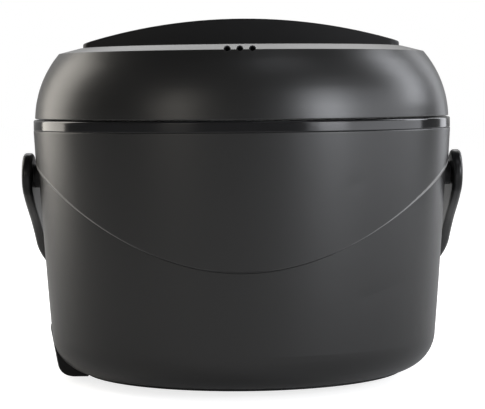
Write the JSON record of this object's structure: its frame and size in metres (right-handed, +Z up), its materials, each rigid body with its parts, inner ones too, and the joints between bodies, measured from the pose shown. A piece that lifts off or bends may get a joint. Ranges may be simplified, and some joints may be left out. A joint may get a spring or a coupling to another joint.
{
  "type": "electric lunch box",
  "caption": "Oval electric lunch box: tapered heated body, domed lid hinged at the rear with a raised grip and steam vents, and a swinging carrying handle.",
  "frame": {"origin": "on the table plane, the plane of the feet, under the middle of the oval body", "axes": "+Z up, the front faces -Y, +X to the right as seen from the front"},
  "size_m": [0.2374, 0.1981, 0.194],
  "materials": {
    "charcoal_satin": "satin, fine-grained polypropylene",
    "black_gloss": "polished moulding",
    "black_matte": "fine matte moulding",
    "foot_rubber": "matte",
    "silicone": "translucent white silicone",
    "chamber_aluminium": "pressed, mill finish",
    "pot_steel": "brushed stainless",
    "contact_brass": "nickel-plated brass",
    "wire_sleeve": "silicone sleeving",
    "liner_grey": "light grey polypropylene"
  },
  "bodies": {
    "base": {"outer_body": "charcoal_satin", "collar_band": "black_gloss", "heating_chamber": "chamber_aluminium", "inner_pot": "pot_steel", "heater_plate": "chamber_aluminium", "heating_element": "pot_steel", "thermostat": "pot_steel", "thermal_fuse": "pot_steel", "lead_wires": "wire_sleeve", "base_plate": "black_matte", "feet": "foot_rubber", "base_screws": "pot_steel", "inlet_housing": "black_matte", "inlet_pins": "contact_brass", "pivot_bosses": "black_matte", "pivot_pins": "pot_steel", "hinge_base": "black_matte", "hinge_pin": "pot_steel"},
    "lid": {"lid_shell": "charcoal_satin", "lid_grip": "black_matte", "lid_liner": "liner_grey", "lid_gasket": "silicone", "vent_insert": "black_matte", "lid_screws": "pot_steel", "hinge_leaf": "black_matte"},
    "handle": {"handle_bail": "black_matte"}
  },
  "joints": [
    {"name": "lid_hinge", "type": "hinge", "parent": "base", "child": "lid", "pos_m": [0, 0.0952, 0.1375], "axis": [-1, 0, 0], "range_deg": [0, 100]},
    {"name": "handle_swing", "type": "hinge", "parent": "base", "child": "handle", "pos_m": [0, 0, 0.1104], "axis": [1, 0, 0], "range_deg": [0, 252]}
  ]
}
